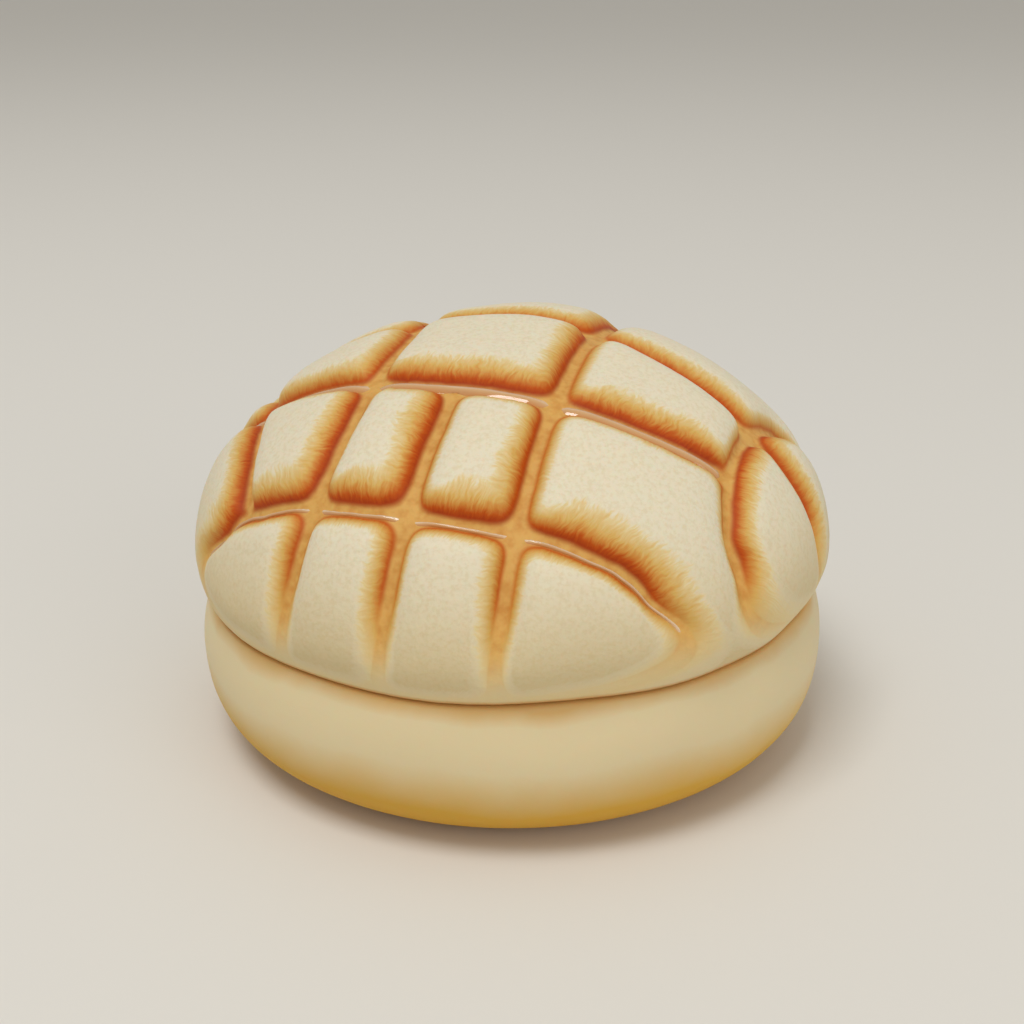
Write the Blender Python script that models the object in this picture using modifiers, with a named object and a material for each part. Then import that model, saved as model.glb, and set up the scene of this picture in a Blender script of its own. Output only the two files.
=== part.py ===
"""Melon pan: a round bread bun baked under a scored cookie-dough crust.

Two solids: the bun, which runs up under the crust as a low dome, and the crust, a shell that covers
the dome and ends in a lip just under its widest ring. Lengths are in millimetres until a mesh is
made, +Z is up, -Y is the front, and the origin is the middle of the flat base.
"""

import bmesh
import bpy
import numpy as np

MM = 0.001

# Bun, from its flat base over the belly to the seam
BUN_RADIUS = 50.0
BASE_RADIUS = 31.5
BELLY_HEIGHT = 15.0
BELLY_FLARE = 0.72
BELLY_ROUNDING = 0.89
SEAM_HEIGHT = 24.3
SEAM_RADIUS = 47.85
SHOULDER_FALL = 1.92

# Crust, from the lip at the seam over its widest ring to the apex
CRUST_RADIUS = 50.35
CRUST_WIDE_HEIGHT = 31.05
CRUST_SIDE_POWER = 1.087
CRUST_TOP_POWER = 1.084
CRUST_THICKNESS = 4.6
TOTAL_HEIGHT = 65.65

# Fit between the two
GAP = 0.32
SHOULDER_LEDGE = 1.5
LEDGE_RISE = 0.8

# Scored grooves
GROOVE_DEPTH = 2.6
FLOOR_HALF_WIDTH = 1.0
PAD_EDGE = 7.2
PAD_FOOT_POWER = 0.6
PAD_TOP_POWER = 2.6
CORNER_POWER = 5.0
FADE_LOW = 25.5
FADE_HIGH = 40.0

# Each groove's floor is where a sheet, bent to a shallow arc, cuts the dome. Its normal has a heading
# from +X and a tilt, both in degrees; offset is its distance from the origin and bow is how far it
# bends by BUN_RADIUS to either side, both in millimetres. It stops at the grooves named in stops,
# and +1 or -1 is the side of that groove on which it is cut.
GROOVES = {
    "cross_rear": dict(heading=70.0, tilt=0.0, offset=32.0, bow=-13.0, stops={}),
    "cross_middle": dict(heading=71.5, tilt=0.0, offset=3.5, bow=-6.5, stops={}),
    "cross_front": dict(heading=69.3, tilt=0.0, offset=-20.9, bow=14.0, stops={"right": -1}),
    "cross_low": dict(heading=69.5, tilt=-20.0, offset=-53.6, bow=21.9, stops={"right": -1}),
    "left": dict(heading=-8.0, tilt=-8.0, offset=-43.9, bow=13.0, stops={"cross_low": 1}),
    "middle_left": dict(heading=-13.0, tilt=-8.0, offset=-23.85, bow=-2.9, stops={}),
    "middle": dict(heading=-17.0, tilt=-5.0, offset=-7.25, bow=1.5, stops={"cross_front": -1}),
    "middle_right": dict(heading=-17.0, tilt=0.0, offset=12.5, bow=0.0, stops={}),
    "right": dict(heading=-23.2, tilt=24.7, offset=54.4, bow=-3.3, stops={}),
}

# Unevenness of the dough
RIM_LEAN = 0.6
LUMP_HEIGHT = 0.25
LUMP_LENGTH = 34.0

# Mesh density
BUN_STEPS = 60
CRUST_STEPS = 360
CRUST_OUTER_POINTS = 110
CRUST_INNER_POINTS = 40
CRUST_TRIANGLES = 9600


def smooth(low, high, value):
    """Return a soft step from 0 at low to 1 at high."""
    share = np.clip((value - low) / (high - low), 0.0, 1.0)
    return share * share * (3.0 - 2.0 * share)


def sweep(count):
    """Return angles from a quarter turn down to zero."""
    return np.linspace(np.pi / 2, 0.0, count)


def dome(angles, inset):
    """Return the dome's section, from the apex to the widest ring, inset from the crust's outside."""
    radius = (CRUST_RADIUS - inset) * np.cos(angles).clip(0.0) ** CRUST_SIDE_POWER
    rise = TOTAL_HEIGHT - CRUST_WIDE_HEIGHT - inset
    height = CRUST_WIDE_HEIGHT + rise * np.sin(angles) ** CRUST_TOP_POWER
    return list(zip(radius, height))


def curl(angles):
    """Return the crust's outside from the widest ring in to the lip at the seam."""
    radius = SEAM_RADIUS + (CRUST_RADIUS - SEAM_RADIUS) * np.sin(angles) ** 2
    height = CRUST_WIDE_HEIGHT - (CRUST_WIDE_HEIGHT - SEAM_HEIGHT) * np.cos(angles)
    return list(zip(radius, height))


def ledge(gap):
    """Return the stepped ledge that carries the lip, from the core's wall out to the seam."""
    wall = SEAM_RADIUS - SHOULDER_LEDGE + gap
    floor = SEAM_HEIGHT - GAP + gap
    return [
        (wall, floor + 2.0 * LEDGE_RISE),
        (wall + 0.2 * LEDGE_RISE, floor + LEDGE_RISE),
        (wall + 0.6 * LEDGE_RISE, floor + 0.3 * LEDGE_RISE),
    ]


def upper_side(count):
    """Return the bun's side from the seam down to just above the belly."""
    share = np.linspace(1.0, 0.0, count, endpoint=False)
    radius = BUN_RADIUS - (BUN_RADIUS - SEAM_RADIUS) * share ** SHOULDER_FALL
    height = BELLY_HEIGHT + (SEAM_HEIGHT - GAP - BELLY_HEIGHT) * share
    return list(zip(radius, height))


def lower_side(count):
    """Return the bun's side from the belly down to the edge of the flat base."""
    angles = sweep(count)
    radius = BASE_RADIUS + (BUN_RADIUS - BASE_RADIUS) * np.sin(angles) ** BELLY_FLARE
    height = BELLY_HEIGHT * (1.0 - np.cos(angles).clip(0.0) ** BELLY_ROUNDING)
    return list(zip(radius, height))


def bun_section():
    """Return the bun's profile from the top of its core down to the middle of the base."""
    core = dome(sweep(11), CRUST_THICKNESS)
    return core + ledge(0.0) + upper_side(4) + lower_side(9) + [(0.0, 0.0)]


def crust_sections():
    """Return the crust's outside from the apex to the lip, and its underside back to the axis."""
    outer = dome(sweep(CRUST_OUTER_POINTS), 0.0)[:-1] + curl(sweep(12))
    inner = dome(sweep(CRUST_INNER_POINTS), CRUST_THICKNESS - GAP) + ledge(GAP)
    return outer, inner[::-1]


def groove_sheet(groove, points):
    """Return how far each point stands in front of a groove's sheet, and the sheet's normal there."""
    heading = np.radians(groove["heading"])
    tilt = np.radians(groove["tilt"])
    facing = np.array([np.cos(heading), np.sin(heading), 0.0])
    along = np.array([-np.sin(heading), np.cos(heading), 0.0])
    normal = facing * np.cos(tilt) + np.array([0.0, 0.0, np.sin(tilt)])
    run = points @ along / BUN_RADIUS
    distance = points @ normal - groove["offset"] - groove["bow"] * run ** 2
    slope = normal - np.outer(2.0 * groove["bow"] * run / BUN_RADIUS, along)
    return distance, slope


def pad_depth(points, normals):
    """Return how far the crust lies below its envelope at each point."""
    deepest = GROOVE_DEPTH * smooth(FADE_LOW, FADE_HIGH, points[:, 2])
    floors = points - normals * deepest[:, None]
    sheets = {name: groove_sheet(groove, floors) for name, groove in GROOVES.items()}
    crowding = np.zeros(len(points))
    for name, groove in GROOVES.items():
        distance, slope = sheets[name]
        across = slope - normals * np.sum(slope * normals, axis=1)[:, None]
        closeness = PAD_EDGE - np.abs(distance) / np.linalg.norm(across, axis=1).clip(0.2)
        closeness = closeness.clip(0.0)
        for other, side in groove["stops"].items():
            closeness *= smooth(-FLOOR_HALF_WIDTH, FLOOR_HALF_WIDTH, side * sheets[other][0])
        crowding += closeness ** CORNER_POWER
    from_floor = PAD_EDGE - crowding ** (1.0 / CORNER_POWER) - FLOOR_HALF_WIDTH
    share = (from_floor / (PAD_EDGE - FLOOR_HALF_WIDTH)).clip(0.0, 1.0)
    pad = (1.0 - (1.0 - share) ** PAD_TOP_POWER) ** PAD_FOOT_POWER
    return deepest * (1.0 - pad)


def lumps(points):
    """Return the height of the slow swells of hand-shaped dough, level at the flat base."""
    x, y, z = (points / LUMP_LENGTH * 2.0 * np.pi).T
    swell = np.sin(x + 0.8 * y + 0.7) * np.sin(0.9 * y - 0.5 * z + 1.9) + 0.5 * np.sin(1.3 * z - x)
    return LUMP_HEIGHT * swell * smooth(0.0, SEAM_HEIGHT, points[:, 2])


def uneven(points):
    """Return the points swelled away from the middle of the dough, with the rim leaning left."""
    outward = points - np.array([0.0, 0.0, SEAM_HEIGHT])
    outward /= np.linalg.norm(outward, axis=1).clip(1.0)[:, None]
    height = points[:, 2]
    rim = smooth(0.0, SEAM_HEIGHT, height) * smooth(TOTAL_HEIGHT, CRUST_WIDE_HEIGHT, height)
    moved = points + outward * lumps(points)[:, None]
    moved[:, 2] += RIM_LEAN * rim * points[:, 0] / BUN_RADIUS
    return moved


def turned(name, section, relief_points, steps):
    """Return a mesh of the profile turned about the axis, and which vertices take the relief."""
    outline = bpy.data.meshes.new(name + "_profile")
    form = bmesh.new()
    verts = [form.verts.new((radius * MM, 0.0, height * MM)) for radius, height in section]
    for upper, lower in zip(verts, verts[1:]):
        form.edges.new((upper, lower))
    form.to_mesh(outline)
    form.free()
    profile = bpy.data.objects.new(outline.name, outline)
    bpy.context.scene.collection.objects.link(profile)
    profile.vertex_groups.new(name="relief").add(list(range(relief_points)), 1.0, "REPLACE")
    screw = profile.modifiers.new("Turn", "SCREW")
    screw.steps = steps
    screw.render_steps = steps
    screw.use_merge_vertices = True
    screw.merge_threshold = 0.00001
    graph = bpy.context.evaluated_depsgraph_get()
    mesh = bpy.data.meshes.new_from_object(profile.evaluated_get(graph))
    mesh.name = name
    bpy.data.objects.remove(profile)
    return mesh, np.array([len(vertex.groups) > 0 for vertex in mesh.vertices])


def shape_dough(mesh, relief):
    """Press the pads into the relief vertices and make the whole mesh uneven."""
    points = np.empty(len(mesh.vertices) * 3)
    mesh.vertices.foreach_get("co", points)
    points = points.reshape(-1, 3) / MM
    if relief.any():
        normals = np.empty(len(mesh.vertices) * 3)
        mesh.vertices.foreach_get("normal", normals)
        normals = normals.reshape(-1, 3)[relief]
        points[relief] -= normals * pad_depth(points[relief], normals)[:, None]
    mesh.vertices.foreach_set("co", (uneven(points) * MM).ravel())
    mesh.update()


def material(name, color, roughness):
    """Return a baked-dough material."""
    finish = bpy.data.materials.new(name)
    finish.use_nodes = True
    shader = finish.node_tree.nodes["Principled BSDF"]
    shader.inputs["Base Color"].default_value = (*color, 1.0)
    shader.inputs["Roughness"].default_value = roughness
    shader.inputs["Metallic"].default_value = 0.0
    return finish


def add_piece(name, mesh, finish, collection):
    """Put a smooth-shaded mesh in the collection under its node name."""
    mesh.materials.clear()
    mesh.materials.append(finish)
    mesh.shade_smooth()
    piece = bpy.data.objects.new(name, mesh)
    collection.objects.link(piece)
    return piece


def build_bun(collection):
    """Build the bread bun, a turned form with a flat base and a dome under the crust."""
    mesh, _ = turned("bun", bun_section(), 0, BUN_STEPS)
    shape_dough(mesh, np.zeros(len(mesh.vertices), dtype=bool))
    add_piece("bun", mesh, material("baked_bun_dough", (0.66, 0.50, 0.26), 0.6), collection)


def build_crust(collection):
    """Build the scored cookie crust, with its triangles spent where the relief bends."""
    outer, inner = crust_sections()
    mesh, relief = turned("cookie_crust", outer + inner, len(outer), CRUST_STEPS)
    shape_dough(mesh, relief)
    finish = material("baked_cookie_dough", (0.70, 0.55, 0.30), 0.7)
    piece = add_piece("cookie_crust", mesh, finish, collection)
    mesh.calc_loop_triangles()
    thin = piece.modifiers.new("Fewer triangles", "DECIMATE")
    thin.ratio = CRUST_TRIANGLES / len(mesh.loop_triangles)
    thin.use_collapse_triangulate = True


def main():
    for old in list(bpy.data.objects):
        bpy.data.objects.remove(old)
    collection = bpy.data.collections.new("melon_pan")
    bpy.context.scene.collection.children.link(collection)
    build_bun(collection)
    build_crust(collection)


main()
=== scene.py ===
"""Studio scene of a melon pan: a bread bun baked under a scored cookie-dough crust.

Laid out as a Blender add-on and run as a script. Each layer of the real bun is one piece, turned from
its section by Geometry Nodes and then worked: the dough is made uneven, grooves are scored into the
crust, and glaze is pooled in two of them. Lengths in the node trees are in millimetres, and each tree
ends by scaling to metres. The front of the bun is its side towards -Y.
"""

import math

import bpy
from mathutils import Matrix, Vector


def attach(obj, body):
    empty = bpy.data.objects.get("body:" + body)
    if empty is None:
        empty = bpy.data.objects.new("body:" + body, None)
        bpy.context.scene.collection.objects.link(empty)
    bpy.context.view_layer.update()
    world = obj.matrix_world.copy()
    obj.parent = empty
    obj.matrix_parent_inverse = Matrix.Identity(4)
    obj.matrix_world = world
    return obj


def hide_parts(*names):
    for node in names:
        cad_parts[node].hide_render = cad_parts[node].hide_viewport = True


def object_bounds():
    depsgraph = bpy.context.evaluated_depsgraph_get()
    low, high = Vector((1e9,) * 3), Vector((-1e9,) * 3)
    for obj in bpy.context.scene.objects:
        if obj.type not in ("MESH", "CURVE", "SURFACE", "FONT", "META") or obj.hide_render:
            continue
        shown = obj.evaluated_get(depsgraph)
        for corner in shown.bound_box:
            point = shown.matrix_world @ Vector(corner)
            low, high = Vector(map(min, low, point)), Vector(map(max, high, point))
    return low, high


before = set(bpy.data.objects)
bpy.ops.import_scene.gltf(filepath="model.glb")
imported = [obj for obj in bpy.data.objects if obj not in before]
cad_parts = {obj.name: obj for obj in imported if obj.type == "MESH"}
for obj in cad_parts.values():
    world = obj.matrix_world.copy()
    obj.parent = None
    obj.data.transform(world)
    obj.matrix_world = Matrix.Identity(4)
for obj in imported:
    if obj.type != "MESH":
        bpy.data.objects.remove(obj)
CAD_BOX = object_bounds()

bl_info = {
    "name": "Melon pan",
    "version": (1, 0, 0),
    "blender": (4, 5, 0),
    "location": "3D View > Sidebar > Melon pan",
    "description": "Builds a melon pan with its baked finishes and a plain studio",
    "category": "Object",
}

MM = 0.001

# Bun section: lengths in millimetres, and the powers that round its belly and its shoulder
BUN_RADIUS = 50.0
BASE_RADIUS = 31.5
BELLY_HEIGHT = 15.0
BELLY_FLARE = 0.72
BELLY_ROUNDING = 0.89
SEAM_HEIGHT = 24.3
SEAM_RADIUS = 47.85
SHOULDER_FALL = 1.92

# Crust section: lengths in millimetres, and the powers that shape its side and its top
CRUST_RADIUS = 50.35
CRUST_WIDE_HEIGHT = 31.05
CRUST_SIDE_POWER = 1.087
CRUST_TOP_POWER = 1.084
CRUST_THICKNESS = 4.6
TOTAL_HEIGHT = 65.65
GAP = 0.32
SHOULDER_LEDGE = 1.5
LEDGE_RISE = 0.8

# Rounding of the pads between the grooves
PAD_TOP_POWER = 2.6
PAD_FOOT_POWER = 0.5
CORNER_POWER = 5.0

# Heights between which the grooves fade in above the rim, in millimetres
FADE_LOW = 25.5
FADE_HIGH = 40.0

# Each groove's floor is where a sheet, bent to a shallow arc, cuts the dome. Its normal has a heading
# from +X and a tilt in degrees; offset is its distance from the origin and bow is how far it bends by
# BUN_RADIUS to either side. It stops at the grooves in stops and keeps to one side of them: 1 is the
# side that their normal points to. The heat pair is how far the walls are browned, first on the side
# that the groove's own normal points away from and then on the other. The two differ by painted shade:
# walls that face right and towards the front are browned further, as if shaded from a light at the
# upper left and back.
GROOVES = {
    "cross_rear": dict(heading=70.0, tilt=0.0, offset=32.0, bow=-13.0, stops={}, heat_and_shade=(0.5, 0.7)),
    "cross_middle": dict(heading=71.5, tilt=0.0, offset=3.5, bow=-6.5, stops={}, heat_and_shade=(0.5, 0.7)),
    "cross_front": dict(
        heading=69.3, tilt=0.0, offset=-20.9, bow=14.0, stops={"right": -1}, heat_and_shade=(0.5, 1.0)
    ),
    "cross_low": dict(
        heading=69.5, tilt=-20.0, offset=-53.6, bow=21.9, stops={"right": -1}, heat_and_shade=(0.65, 1.0)
    ),
    "left": dict(
        heading=-8.0, tilt=-8.0, offset=-43.9, bow=13.0, stops={"cross_low": 1}, heat_and_shade=(0.9, 0.25)
    ),
    "middle_left": dict(heading=-13.0, tilt=-8.0, offset=-23.85, bow=-2.9, stops={}, heat_and_shade=(0.95, 0.2)),
    "middle": dict(
        heading=-17.0, tilt=-5.0, offset=-7.25, bow=1.5, stops={"cross_front": -1}, heat_and_shade=(0.95, 0.2)
    ),
    "middle_right": dict(heading=-17.0, tilt=0.0, offset=12.5, bow=0.0, stops={}, heat_and_shade=(0.8, 0.25)),
    "right": dict(heading=-23.2, tilt=24.7, offset=54.4, bow=-3.3, stops={}, heat_and_shade=(0.3, 0.85)),
}
CROSS_GROOVES = ("cross_rear", "cross_middle", "cross_front", "cross_low")

# Least slope of a sheet along the surface, which keeps the distances finite
LEAST_SLOPE = 0.2

# Turn of the pads' grid in degrees, and the span and length of the grooves' wandering in millimetres
GRID_TURN = 20.0
GROOVE_WANDER = 0.6
WANDER_LENGTH = 8.0

# Share of their browning that the pads keep in front of the lowest cross groove, and to the left of
# middle_left where they lie behind cross_front
LOW_ROW_HEAT = 0.55
LEFT_PAD_HEAT = 0.65

# Where the glaze's front and back borders lie in each groove that holds it, from the groove's middle
# towards the back, how far it reaches below the floor and how thick its border is, in millimetres
GLAZE_BORDERS = {"cross_front": (-1.9, 1.05), "cross_low": (-1.15, -0.1)}
FILM_SINK = 0.15
FILM_EDGE = 0.05

# Power that puts the glaze's crest nearer to its back border
FILM_CREST_POWER = 1.5

# Unevenness of the dough, in millimetres, and the swells that make it: directions and phases
RIM_LEAN = 0.6
LUMP_HEIGHT = 0.25
LUMP_LENGTH = 34.0
RIPPLE_LENGTH = 9.0
RIPPLE_FADE = 4.0
GRAIN_LENGTH = 2.6
SWELLS = (
    ((1.0, 0.8, 0.0), 0.7),
    ((0.0, 0.9, -0.5), 1.9),
    ((-1.0, 0.0, 1.3), 0.0),
)

# Sizes of the patterns in the finishes, in millimetres. A pixel of the render is about
# 0.16 mm at the middle of the bun, so pores and mottling are drawn as coarse as they need to show.
BREAD_PATCH = 14.3
BREAD_PORE = 0.91
BREAD_PORE_DEPTH = 0.06
PAD_MOTTLE = 0.667
PAD_PORE = 1.11
PAD_PORE_DEPTH = 0.15
FLOOR_SPECK = 1.67
BROWN_PATCH = 11.1
HAIR_SPACING = 0.45
HAIR_LENGTH = 1.5
HAIR_DRIFT = 11.1
TUFT = 3.03
GLAZE_RIPPLE = 2.0
GLAZE_RIPPLE_DEPTH = 0.1

# How far browning reaches up a wall, in millimetres, where it is least and how much heat adds; the
# heat carries the painted shade on walls facing right and towards the front.
BROWN_REACH = 0.9
BROWN_REACH_GAIN = 4.1

# Heights, in millimetres, between which the browning, the floors' colour and the glaze fade in above
# the rim, and the height that the rim's tint reaches
BROWN_FADE = (26.0, 41.0)
FLOOR_FADE = (25.5, 36.0)
GLAZE_FADE = (31.0, 38.0)
RIM_TOP = 47.0

# Share of the browning that is left at the rim
RIM_BROWNING = 0.25

# Soft lights of the studio, in metres
LIGHTS = {
    "key": dict(size=0.6, place=(-0.3, -0.45, 1.4)),
    "fill": dict(size=1.0, place=(0.9, -1.1, 0.5)),
}

# Kinds of node that the trees use most
MATH = "ShaderNodeMath"
VECTOR = "ShaderNodeVectorMath"
JOIN = "ShaderNodeCombineXYZ"
SPLIT = "ShaderNodeSeparateXYZ"
RANGE = "ShaderNodeMapRange"
NOISE = "ShaderNodeTexNoise"
MIX = "ShaderNodeMix"
RAMP = "ShaderNodeValToRGB"


def linear(code):
    """Return the linear colour of an sRGB hex code."""
    shares = [int(code[place:place + 2], 16) / 255.0 for place in (1, 3, 5)]
    return [share / 12.92 if share <= 0.04045 else ((share + 0.055) / 1.055) ** 2.4 for share in shares]


def add_node(tree, kind, *inputs, named=None, stops=(), **settings):
    """Add a node with its settings, feed its open sockets in order, and return its first output.

    A node that blends colours takes stops, each a place from 0 to 1 and a linear colour.
    """
    node = tree.nodes.new(kind)
    for name, value in settings.items():
        setattr(node, name, value)
    if stops:
        points = node.color_ramp.elements
        for _ in stops[2:]:
            points.new(1.0)
        for point, (place, color) in zip(points, stops):
            point.position = place
            point.color = (*color, 1.0)
    sockets = [socket for socket in node.inputs if socket.enabled]
    feeds = list(zip(sockets, inputs))
    feeds += [(node.inputs[name], value) for name, value in (named or {}).items()]
    for socket, value in feeds:
        if isinstance(value, bpy.types.NodeSocket):
            tree.links.new(value, socket)
        elif value is not None:
            socket.default_value = value
    return next((socket for socket in node.outputs if socket.enabled), None)


# Sections


def sweep(count):
    """Return angles from a quarter turn down to zero."""
    return [math.pi / 2.0 * (1.0 - step / (count - 1)) for step in range(count)]


def dome(inset, count):
    """Return the dome's section from the apex to the widest ring, inset from the crust's outside."""
    rise = TOTAL_HEIGHT - CRUST_WIDE_HEIGHT - inset
    points = []
    for angle in sweep(count):
        radius = (CRUST_RADIUS - inset) * max(math.cos(angle), 0.0) ** CRUST_SIDE_POWER
        points.append((radius, CRUST_WIDE_HEIGHT + rise * math.sin(angle) ** CRUST_TOP_POWER))
    points[0] = (0.0, points[0][1])
    return points


def curl(count):
    """Return the crust's outside from the widest ring in to the lip at the seam."""
    points = []
    for angle in sweep(count)[1:]:
        radius = SEAM_RADIUS + (CRUST_RADIUS - SEAM_RADIUS) * math.sin(angle) ** 2
        height = CRUST_WIDE_HEIGHT - (CRUST_WIDE_HEIGHT - SEAM_HEIGHT) * math.cos(angle)
        points.append((radius, height))
    return points


def ledge(gap):
    """Return the stepped ledge that carries the lip, from the core's wall out to the seam."""
    wall = SEAM_RADIUS - SHOULDER_LEDGE + gap
    floor = SEAM_HEIGHT - GAP + gap
    return [
        (wall, floor + 2.0 * LEDGE_RISE),
        (wall + 0.2 * LEDGE_RISE, floor + LEDGE_RISE),
        (wall + 0.6 * LEDGE_RISE, floor + 0.3 * LEDGE_RISE),
    ]


def bun_side(count):
    """Return the bun's side from the seam over the belly to the edge of the flat base."""
    points = []
    for step in range(count):
        share = 1.0 - step / count
        radius = BUN_RADIUS - (BUN_RADIUS - SEAM_RADIUS) * share ** SHOULDER_FALL
        points.append((radius, BELLY_HEIGHT + (SEAM_HEIGHT - GAP - BELLY_HEIGHT) * share))
    for angle in sweep(2 * count):
        radius = BASE_RADIUS + (BUN_RADIUS - BASE_RADIUS) * math.sin(angle) ** BELLY_FLARE
        height = BELLY_HEIGHT * (1.0 - max(math.cos(angle), 0.0) ** BELLY_ROUNDING)
        points.append((radius, height))
    return points


def bun_section():
    """Return the bun's core from the apex to the ledge, its side, and the middle of its base."""
    return dome(CRUST_THICKNESS, 60) + ledge(0.0), bun_side(40), [(0.0, 0.0)]


def crust_section():
    """Return the crust's outside from the apex to the lip, its ledge, and its underside to the axis."""
    return dome(0.0, 160) + curl(24), ledge(GAP)[::-1], dome(CRUST_THICKNESS - GAP, 60)[::-1]


def length(points):
    """Return the length of a line through the points."""
    return sum(math.dist(start, end) for start, end in zip(points, points[1:]))


def section_curve(name, points):
    """Return a curve object that runs through a section's points in the XZ plane, in millimetres."""
    data = bpy.data.curves.new(name, "CURVE")
    data.dimensions = "3D"
    spline = data.splines.new("POLY")
    spline.points.add(len(points) - 1)
    for point, (radius, height) in zip(spline.points, points):
        point.co = (radius, 0.0, height, 1.0)
    curve = bpy.data.objects.new(name, data)
    bpy.context.scene.collection.objects.link(curve)
    return curve


# Fields that the trees share


def turned_point(tree, profile, cap, foot):
    """Return the point, the outward normal and the place along the section of a cube's grid.

    The rings of the cube's top face, its sides and its bottom face become rings round the axis: the
    top face covers the section up to cap, the sides go on to foot and the bottom face closes it.
    """
    place = add_node(tree, "GeometryNodeInputPosition")
    across = add_node(tree, SPLIT, place)
    deep = across.node.outputs[1]
    level = across.node.outputs[2]
    ring = add_node(
        tree, MATH,
        add_node(tree, MATH, across, operation="ABSOLUTE"),
        add_node(tree, MATH, deep, operation="ABSOLUTE"),
        operation="MAXIMUM",
    )
    turns = []
    for side in (deep, across):
        share = add_node(tree, MATH, side, ring, operation="DIVIDE")
        angle = add_node(tree, MATH, share, math.pi / 4.0, operation="MULTIPLY")
        turns.append(add_node(tree, MATH, angle, operation="TANGENT"))
    turn = add_node(tree, MATH, *turns, operation="ARCTAN2")
    upper = add_node(tree, RANGE, level, 1.0, -1.0, cap, foot)
    upper = add_node(tree, MATH, upper, ring, operation="MULTIPLY")
    rest = add_node(tree, MATH, 1.0, foot, operation="SUBTRACT")
    lower = add_node(tree, MATH, rest, ring, operation="MULTIPLY")
    lower = add_node(tree, MATH, 1.0, lower, operation="SUBTRACT")
    under = add_node(tree, MATH, level, -0.9999, operation="LESS_THAN")
    share = add_node(tree, MIX, under, upper, lower, data_type="FLOAT")

    sample = add_node(tree, "GeometryNodeSampleCurve", named={"Curves": profile, "Factor": share}).node
    spot = add_node(tree, SPLIT, sample.outputs["Position"]).node
    run = add_node(tree, SPLIT, sample.outputs["Tangent"]).node
    cosine = add_node(tree, MATH, turn, operation="COSINE")
    sine = add_node(tree, MATH, turn, operation="SINE")
    outward = add_node(tree, JOIN, cosine, sine, 0.0)
    point = add_node(tree, VECTOR, outward, named={"Scale": spot.outputs[0]}, operation="SCALE")
    point = add_node(tree, VECTOR, point, add_node(tree, JOIN, 0.0, 0.0, spot.outputs[2]), operation="ADD")
    inward = add_node(tree, MATH, run.outputs[2], -1.0, operation="MULTIPLY")
    normal = add_node(tree, VECTOR, outward, named={"Scale": inward}, operation="SCALE")
    normal = add_node(tree, VECTOR, normal, add_node(tree, JOIN, 0.0, 0.0, run.outputs[0]), operation="ADD")
    return point, normal, share


def wave(tree, parts, factors, phase):
    """Return the height of a swell of the lump length that runs along its factors."""
    total = phase
    for part, factor in zip(parts, factors):
        scaled = add_node(tree, MATH, part, factor * 2.0 * math.pi / LUMP_LENGTH, operation="MULTIPLY")
        total = add_node(tree, MATH, scaled, total, operation="ADD")
    return add_node(tree, MATH, total, operation="SINE")


def uneven(tree, point):
    """Return the point swelled away from the middle of the dough, with the rim leaning left."""
    node = add_node(tree, SPLIT, point).node
    parts = [node.outputs[0], node.outputs[1], node.outputs[2]]
    first, second, third = [wave(tree, parts, *swell) for swell in SWELLS]
    swell = add_node(tree, MATH, first, second, operation="MULTIPLY")
    swell = add_node(tree, MATH, third, 0.5, swell, operation="MULTIPLY_ADD")
    off_base = add_node(
        tree, RANGE, parts[2], 0.0, SEAM_HEIGHT, 0.0, 1.0, interpolation_type="SMOOTHSTEP"
    )
    swell = add_node(tree, MATH, swell, off_base, operation="MULTIPLY")
    swell = add_node(tree, MATH, swell, LUMP_HEIGHT, operation="MULTIPLY")
    outward = add_node(tree, VECTOR, point, (0.0, 0.0, SEAM_HEIGHT), operation="SUBTRACT")
    outward = add_node(tree, VECTOR, outward, operation="NORMALIZE")
    moved = add_node(tree, VECTOR, outward, named={"Scale": swell}, operation="SCALE")
    moved = add_node(tree, VECTOR, point, moved, operation="ADD")
    off_top = add_node(
        tree, RANGE, parts[2], CRUST_WIDE_HEIGHT, TOTAL_HEIGHT, 1.0, 0.0, interpolation_type="SMOOTHSTEP"
    )
    rise = add_node(tree, MATH, parts[0], RIM_LEAN / BUN_RADIUS, operation="MULTIPLY")
    rise = add_node(tree, MATH, rise, off_base, operation="MULTIPLY")
    rise = add_node(tree, MATH, rise, off_top, operation="MULTIPLY")
    return add_node(tree, VECTOR, moved, add_node(tree, JOIN, 0.0, 0.0, rise), operation="ADD")


def grain(tree, point, spacing, height, detail=1.0):
    """Return a noise of either sign with its mean spacing and its height in millimetres."""
    noise = add_node(tree, NOISE, point, named={"Scale": 1.0 / spacing, "Detail": detail})
    centred = add_node(tree, MATH, noise, 0.5, operation="SUBTRACT")
    return add_node(tree, MATH, centred, 2.0 * height, operation="MULTIPLY")


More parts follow.
